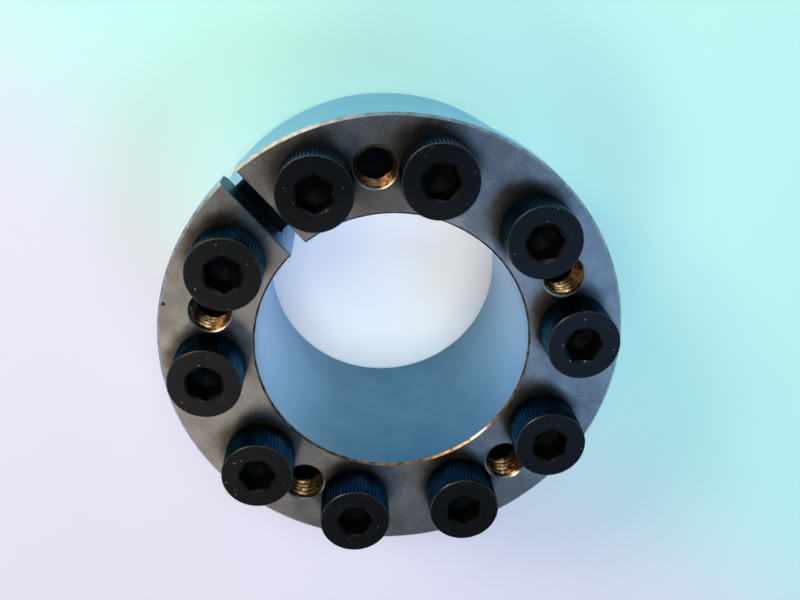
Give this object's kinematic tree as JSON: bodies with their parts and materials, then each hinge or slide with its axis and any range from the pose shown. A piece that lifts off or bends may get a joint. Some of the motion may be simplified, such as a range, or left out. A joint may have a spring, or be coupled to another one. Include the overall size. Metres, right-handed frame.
{
  "type": "keyless locking assembly",
  "caption": "Slit flanged inner ring with a conical sleeve, slit outer ring with a conical bore, and a ring of socket head screws that draw them together to clamp a hub on a shaft.",
  "frame": {"origin": "centre of the rear face of the rings, on the shaft axis", "axes": "+Z along the shaft axis towards the screw heads, +X through the slit of the inner ring"},
  "size_m": [0.086, 0.086, 0.0508],
  "materials": {
    "turned_steel": "matt grey steel, lightly oiled, with bright broken edges",
    "black_oxide": "black oxide on alloy steel screws, satin, worn bright at the edges"
  },
  "bodies": {
    "inner_ring": {"inner_ring": "turned_steel"},
    "outer_ring": {"outer_ring": "turned_steel"},
    "screw_01": {"screw_01": "black_oxide"},
    "screw_02": {"screw_02": "black_oxide"},
    "screw_03": {"screw_03": "black_oxide"},
    "screw_04": {"screw_04": "black_oxide"},
    "screw_05": {"screw_05": "black_oxide"},
    "screw_06": {"screw_06": "black_oxide"},
    "screw_07": {"screw_07": "black_oxide"},
    "screw_08": {"screw_08": "black_oxide"},
    "screw_09": {"screw_09": "black_oxide"},
    "screw_10": {"screw_10": "black_oxide"}
  },
  "joints": [
    {"name": "draw_up", "type": "slide", "parent": "inner_ring", "child": "outer_ring", "axis": [0, 0, 1], "range_m": [0, 0.001]},
    {"name": "screw_01_turn", "type": "hinge", "parent": "inner_ring", "child": "screw_01", "pos_m": [0.03215, 0.01044, 0.0428], "axis": [0, 0, -1], "range_deg": [0, 288]},
    {"name": "screw_02_turn", "type": "hinge", "parent": "inner_ring", "child": "screw_02", "pos_m": [0.01987, 0.02735, 0.0428], "axis": [0, 0, -1], "range_deg": [0, 288]},
    {"name": "screw_03_turn", "type": "hinge", "parent": "inner_ring", "child": "screw_03", "pos_m": [0, 0.0338, 0.0428], "axis": [0, 0, -1], "range_deg": [0, 288]},
    {"name": "screw_04_turn", "type": "hinge", "parent": "inner_ring", "child": "screw_04", "pos_m": [-0.01987, 0.02735, 0.0428], "axis": [0, 0, -1], "range_deg": [0, 288]},
    {"name": "screw_05_turn", "type": "hinge", "parent": "inner_ring", "child": "screw_05", "pos_m": [-0.03215, 0.01044, 0.0428], "axis": [0, 0, -1], "range_deg": [0, 288]},
    {"name": "screw_06_turn", "type": "hinge", "parent": "inner_ring", "child": "screw_06", "pos_m": [-0.03215, -0.01044, 0.0428], "axis": [0, 0, -1], "range_deg": [0, 288]},
    {"name": "screw_07_turn", "type": "hinge", "parent": "inner_ring", "child": "screw_07", "pos_m": [-0.01987, -0.02735, 0.0428], "axis": [0, 0, -1], "range_deg": [0, 288]},
    {"name": "screw_08_turn", "type": "hinge", "parent": "inner_ring", "child": "screw_08", "pos_m": [0, -0.0338, 0.0428], "axis": [0, 0, -1], "range_deg": [0, 288]},
    {"name": "screw_09_turn", "type": "hinge", "parent": "inner_ring", "child": "screw_09", "pos_m": [0.01987, -0.02735, 0.0428], "axis": [0, 0, -1], "range_deg": [0, 288]},
    {"name": "screw_10_turn", "type": "hinge", "parent": "inner_ring", "child": "screw_10", "pos_m": [0.03215, -0.01044, 0.0428], "axis": [0, 0, -1], "range_deg": [0, 288]}
  ],
  "couplings": [
    {"joint": "screw_01_turn", "follows": "draw_up", "rad_per_m": 5026.5},
    {"joint": "screw_02_turn", "follows": "draw_up", "rad_per_m": 5026.5},
    {"joint": "screw_03_turn", "follows": "draw_up", "rad_per_m": 5026.5},
    {"joint": "screw_04_turn", "follows": "draw_up", "rad_per_m": 5026.5},
    {"joint": "screw_05_turn", "follows": "draw_up", "rad_per_m": 5026.5},
    {"joint": "screw_06_turn", "follows": "draw_up", "rad_per_m": 5026.5},
    {"joint": "screw_07_turn", "follows": "draw_up", "rad_per_m": 5026.5},
    {"joint": "screw_08_turn", "follows": "draw_up", "rad_per_m": 5026.5},
    {"joint": "screw_09_turn", "follows": "draw_up", "rad_per_m": 5026.5},
    {"joint": "screw_10_turn", "follows": "draw_up", "rad_per_m": 5026.5}
  ]
}
